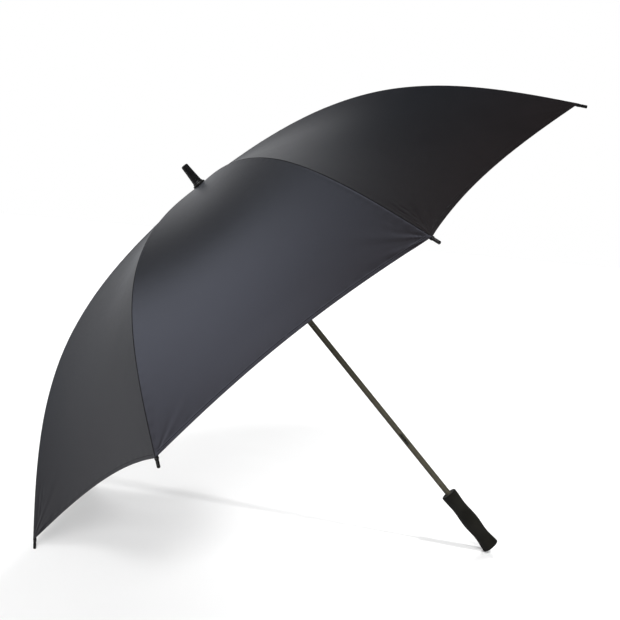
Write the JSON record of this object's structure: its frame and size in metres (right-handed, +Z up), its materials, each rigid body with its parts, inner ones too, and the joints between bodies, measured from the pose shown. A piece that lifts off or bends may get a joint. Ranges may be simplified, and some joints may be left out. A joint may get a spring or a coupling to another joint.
{
  "type": "golf umbrella",
  "caption": "Large manual golf umbrella with a domed cloth canopy on folding sprung ribs, a straight shaft with sliding runner and a contoured foam grip.",
  "frame": {"origin": "on the floor, in the middle under the open umbrella as it stands on its grip's end and the two lowest rib tips", "axes": "+Z up; the shaft leans from the grip at +X up to the ferrule at -X, in the plane Y = 0; Y across the canopy"},
  "size_m": [0.907, 1.2382, 0.8811],
  "materials": {
    "painted_steel": "dark brown-black enamel, slightly glossy",
    "foam": "fine-celled black EVA foam, matt",
    "gloss_black": "moulded, glossy black",
    "moulded_black": "moulded, satin black",
    "fibreglass": "pultruded rod with a thin black coat",
    "tip_metal": "gunmetal plating",
    "spring_steel": "bright drawn wire and strip",
    "canopy_cloth": "closely woven charcoal polyester with a faint sheen"
  },
  "bodies": {
    "frame": {"shaft": "painted_steel", "shaft_plug": "moulded_black", "grip": "foam", "ferrule": "gloss_black", "canopy_cap": "gloss_black", "crown_notch": "moulded_black", "crown_ring": "spring_steel", "stop_pin": "spring_steel"},
    "runner": {"runner": "moulded_black", "runner_ring": "spring_steel"},
    "top_spring": {"top_spring": "spring_steel"},
    "bottom_spring": {"bottom_spring": "spring_steel"},
    "rib_inner_1": {"rib_inner_1": "fibreglass"},
    "rib_outer_1": {"rib_outer_1": "fibreglass", "rib_tip_1": "tip_metal", "canopy_panel_1": "canopy_cloth"},
    "stretcher_1": {"stretcher_1": "painted_steel"},
    "rib_inner_2": {"rib_inner_2": "fibreglass"},
    "rib_outer_2": {"rib_outer_2": "fibreglass", "rib_tip_2": "tip_metal", "canopy_panel_2": "canopy_cloth"},
    "stretcher_2": {"stretcher_2": "painted_steel"},
    "rib_inner_3": {"rib_inner_3": "fibreglass"},
    "rib_outer_3": {"rib_outer_3": "fibreglass", "rib_tip_3": "tip_metal", "canopy_panel_3": "canopy_cloth"},
    "stretcher_3": {"stretcher_3": "painted_steel"},
    "rib_inner_4": {"rib_inner_4": "fibreglass"},
    "rib_outer_4": {"rib_outer_4": "fibreglass", "rib_tip_4": "tip_metal", "canopy_panel_4": "canopy_cloth"},
    "stretcher_4": {"stretcher_4": "painted_steel"},
    "rib_inner_5": {"rib_inner_5": "fibreglass"},
    "rib_outer_5": {"rib_outer_5": "fibreglass", "rib_tip_5": "tip_metal", "canopy_panel_5": "canopy_cloth"},
    "stretcher_5": {"stretcher_5": "painted_steel"},
    "rib_inner_6": {"rib_inner_6": "fibreglass"},
    "rib_outer_6": {"rib_outer_6": "fibreglass", "rib_tip_6": "tip_metal", "canopy_panel_6": "canopy_cloth"},
    "stretcher_6": {"stretcher_6": "painted_steel"},
    "rib_inner_7": {"rib_inner_7": "fibreglass"},
    "rib_outer_7": {"rib_outer_7": "fibreglass", "rib_tip_7": "tip_metal", "canopy_panel_7": "canopy_cloth"},
    "stretcher_7": {"stretcher_7": "painted_steel"},
    "rib_inner_8": {"rib_inner_8": "fibreglass"},
    "rib_outer_8": {"rib_outer_8": "fibreglass", "rib_tip_8": "tip_metal", "canopy_panel_8": "canopy_cloth"},
    "stretcher_8": {"stretcher_8": "painted_steel"}
  },
  "joints": [
    {"name": "runner_slide", "type": "slide", "parent": "frame", "child": "runner", "axis": [0.693, 0, -0.7209], "range_m": [0, 0.39762], "deforming": ["top_spring", "bottom_spring", "canopy_panel_1", "canopy_panel_2", "canopy_panel_3", "canopy_panel_4", "canopy_panel_5", "canopy_panel_6", "canopy_panel_7", "canopy_panel_8"]},
    {"name": "rib_fold_1", "type": "hinge", "parent": "frame", "child": "rib_inner_1", "pos_m": [-0.23223, -0.00393, 0.66486], "axis": [0.2759, -0.9239, 0.2652], "range_deg": [0, 77.5]},
    {"name": "rib_flex_1", "type": "hinge", "parent": "rib_inner_1", "child": "rib_outer_1", "pos_m": [-0.39608, -0.11774, 0.43881], "axis": [-0.2759, 0.9239, -0.2652], "range_deg": [0, 28]},
    {"name": "stretcher_fold_1", "type": "hinge", "parent": "rib_inner_1", "child": "stretcher_1", "pos_m": [-0.38545, -0.11265, 0.4455], "axis": [-0.2759, 0.9239, -0.2652], "range_deg": [0, 135.66]},
    {"name": "rib_fold_2", "type": "hinge", "parent": "frame", "child": "rib_inner_2", "pos_m": [-0.22823, -0.00948, 0.66871], "axis": [0.666, -0.3827, 0.6403], "range_deg": [0, 77.5]},
    {"name": "rib_flex_2", "type": "hinge", "parent": "rib_inner_2", "child": "rib_outer_2", "pos_m": [-0.27604, -0.28426, 0.55421], "axis": [-0.666, 0.3827, -0.6403], "range_deg": [0, 28]},
    {"name": "stretcher_fold_2", "type": "hinge", "parent": "rib_inner_2", "child": "stretcher_2", "pos_m": [-0.27061, -0.27196, 0.55591], "axis": [-0.666, 0.3827, -0.6403], "range_deg": [0, 135.66]},
    {"name": "rib_fold_3", "type": "hinge", "parent": "frame", "child": "rib_inner_3", "pos_m": [-0.22257, -0.00948, 0.67415], "axis": [0.666, 0.3827, 0.6403], "range_deg": [0, 77.5]},
    {"name": "rib_flex_3", "type": "hinge", "parent": "rib_inner_3", "child": "rib_outer_3", "pos_m": [-0.10628, -0.28426, 0.71742], "axis": [-0.666, -0.3827, -0.6403], "range_deg": [0, 28]},
    {"name": "stretcher_fold_3", "type": "hinge", "parent": "rib_inner_3", "child": "stretcher_3", "pos_m": [-0.10819, -0.27196, 0.71205], "axis": [-0.666, -0.3827, -0.6403], "range_deg": [0, 135.66]},
    {"name": "rib_fold_4", "type": "hinge", "parent": "frame", "child": "rib_inner_4", "pos_m": [-0.21857, -0.00393, 0.678], "axis": [0.2759, 0.9239, 0.2652], "range_deg": [0, 77.5]},
    {"name": "rib_flex_4", "type": "hinge", "parent": "rib_inner_4", "child": "rib_outer_4", "pos_m": [0.01376, -0.11774, 0.83282], "axis": [-0.2759, -0.9239, -0.2652], "range_deg": [0, 28]},
    {"name": "stretcher_fold_4", "type": "hinge", "parent": "rib_inner_4", "child": "stretcher_4", "pos_m": [0.00666, -0.11265, 0.82246], "axis": [-0.2759, -0.9239, -0.2652], "range_deg": [0, 135.66]},
    {"name": "rib_fold_5", "type": "hinge", "parent": "frame", "child": "rib_inner_5", "pos_m": [-0.21857, 0.00393, 0.678], "axis": [-0.2759, 0.9239, -0.2652], "range_deg": [0, 77.5]},
    {"name": "rib_flex_5", "type": "hinge", "parent": "rib_inner_5", "child": "rib_outer_5", "pos_m": [0.01376, 0.11774, 0.83282], "axis": [0.2759, -0.9239, 0.2652], "range_deg": [0, 28]},
    {"name": "stretcher_fold_5", "type": "hinge", "parent": "rib_inner_5", "child": "stretcher_5", "pos_m": [0.00666, 0.11265, 0.82246], "axis": [0.2759, -0.9239, 0.2652], "range_deg": [0, 135.66]},
    {"name": "rib_fold_6", "type": "hinge", "parent": "frame", "child": "rib_inner_6", "pos_m": [-0.22257, 0.00948, 0.67415], "axis": [-0.666, 0.3827, -0.6403], "range_deg": [0, 77.5]},
    {"name": "rib_flex_6", "type": "hinge", "parent": "rib_inner_6", "child": "rib_outer_6", "pos_m": [-0.10628, 0.28426, 0.71742], "axis": [0.666, -0.3827, 0.6403], "range_deg": [0, 28]},
    {"name": "stretcher_fold_6", "type": "hinge", "parent": "rib_inner_6", "child": "stretcher_6", "pos_m": [-0.10819, 0.27196, 0.71205], "axis": [0.666, -0.3827, 0.6403], "range_deg": [0, 135.66]},
    {"name": "rib_fold_7", "type": "hinge", "parent": "frame", "child": "rib_inner_7", "pos_m": [-0.22823, 0.00948, 0.66871], "axis": [-0.666, -0.3827, -0.6403], "range_deg": [0, 77.5]},
    {"name": "rib_flex_7", "type": "hinge", "parent": "rib_inner_7", "child": "rib_outer_7", "pos_m": [-0.27604, 0.28426, 0.55421], "axis": [0.666, 0.3827, 0.6403], "range_deg": [0, 28]},
    {"name": "stretcher_fold_7", "type": "hinge", "parent": "rib_inner_7", "child": "stretcher_7", "pos_m": [-0.27061, 0.27196, 0.55591], "axis": [0.666, 0.3827, 0.6403], "range_deg": [0, 135.66]},
    {"name": "rib_fold_8", "type": "hinge", "parent": "frame", "child": "rib_inner_8", "pos_m": [-0.23223, 0.00393, 0.66486], "axis": [-0.2759, -0.9239, -0.2652], "range_deg": [0, 77.5]},
    {"name": "rib_flex_8", "type": "hinge", "parent": "rib_inner_8", "child": "rib_outer_8", "pos_m": [-0.39608, 0.11774, 0.43881], "axis": [0.2759, 0.9239, 0.2652], "range_deg": [0, 28]},
    {"name": "stretcher_fold_8", "type": "hinge", "parent": "rib_inner_8", "child": "stretcher_8", "pos_m": [-0.38545, 0.11265, 0.4455], "axis": [0.2759, 0.9239, 0.2652], "range_deg": [0, 135.66]},
    {"name": "top_catch_press", "type": "hinge", "parent": "frame", "child": "top_spring", "pos_m": [0.01704, -0.0036, 0.41925], "axis": [-0.7209, 0, -0.693], "range_deg": [0, 2.7], "stiffness_Nm_per_rad": 1, "springref_deg": -1.72},
    {"name": "bottom_catch_press", "type": "hinge", "parent": "frame", "child": "bottom_spring", "pos_m": [0.18434, -0.0036, 0.24522], "axis": [0.7209, 0, 0.693], "range_deg": [0, 2.7], "stiffness_Nm_per_rad": 1, "springref_deg": -1.72}
  ],
  "couplings": [
    {"joint": "rib_fold_1", "follows": "runner_slide", "rad_per_m": 3.4018},
    {"joint": "rib_flex_1", "follows": "runner_slide", "rad_per_m": 1.229},
    {"joint": "stretcher_fold_1", "follows": "runner_slide", "rad_per_m": 5.9547},
    {"joint": "rib_fold_2", "follows": "runner_slide", "rad_per_m": 3.4018},
    {"joint": "rib_flex_2", "follows": "runner_slide", "rad_per_m": 1.229},
    {"joint": "stretcher_fold_2", "follows": "runner_slide", "rad_per_m": 5.9547},
    {"joint": "rib_fold_3", "follows": "runner_slide", "rad_per_m": 3.4018},
    {"joint": "rib_flex_3", "follows": "runner_slide", "rad_per_m": 1.229},
    {"joint": "stretcher_fold_3", "follows": "runner_slide", "rad_per_m": 5.9547},
    {"joint": "rib_fold_4", "follows": "runner_slide", "rad_per_m": 3.4018},
    {"joint": "rib_flex_4", "follows": "runner_slide", "rad_per_m": 1.229},
    {"joint": "stretcher_fold_4", "follows": "runner_slide", "rad_per_m": 5.9547},
    {"joint": "rib_fold_5", "follows": "runner_slide", "rad_per_m": 3.4018},
    {"joint": "rib_flex_5", "follows": "runner_slide", "rad_per_m": 1.229},
    {"joint": "stretcher_fold_5", "follows": "runner_slide", "rad_per_m": 5.9547},
    {"joint": "rib_fold_6", "follows": "runner_slide", "rad_per_m": 3.4018},
    {"joint": "rib_flex_6", "follows": "runner_slide", "rad_per_m": 1.229},
    {"joint": "stretcher_fold_6", "follows": "runner_slide", "rad_per_m": 5.9547},
    {"joint": "rib_fold_7", "follows": "runner_slide", "rad_per_m": 3.4018},
    {"joint": "rib_flex_7", "follows": "runner_slide", "rad_per_m": 1.229},
    {"joint": "stretcher_fold_7", "follows": "runner_slide", "rad_per_m": 5.9547},
    {"joint": "rib_fold_8", "follows": "runner_slide", "rad_per_m": 3.4018},
    {"joint": "rib_flex_8", "follows": "runner_slide", "rad_per_m": 1.229},
    {"joint": "stretcher_fold_8", "follows": "runner_slide", "rad_per_m": 5.9547}
  ]
}
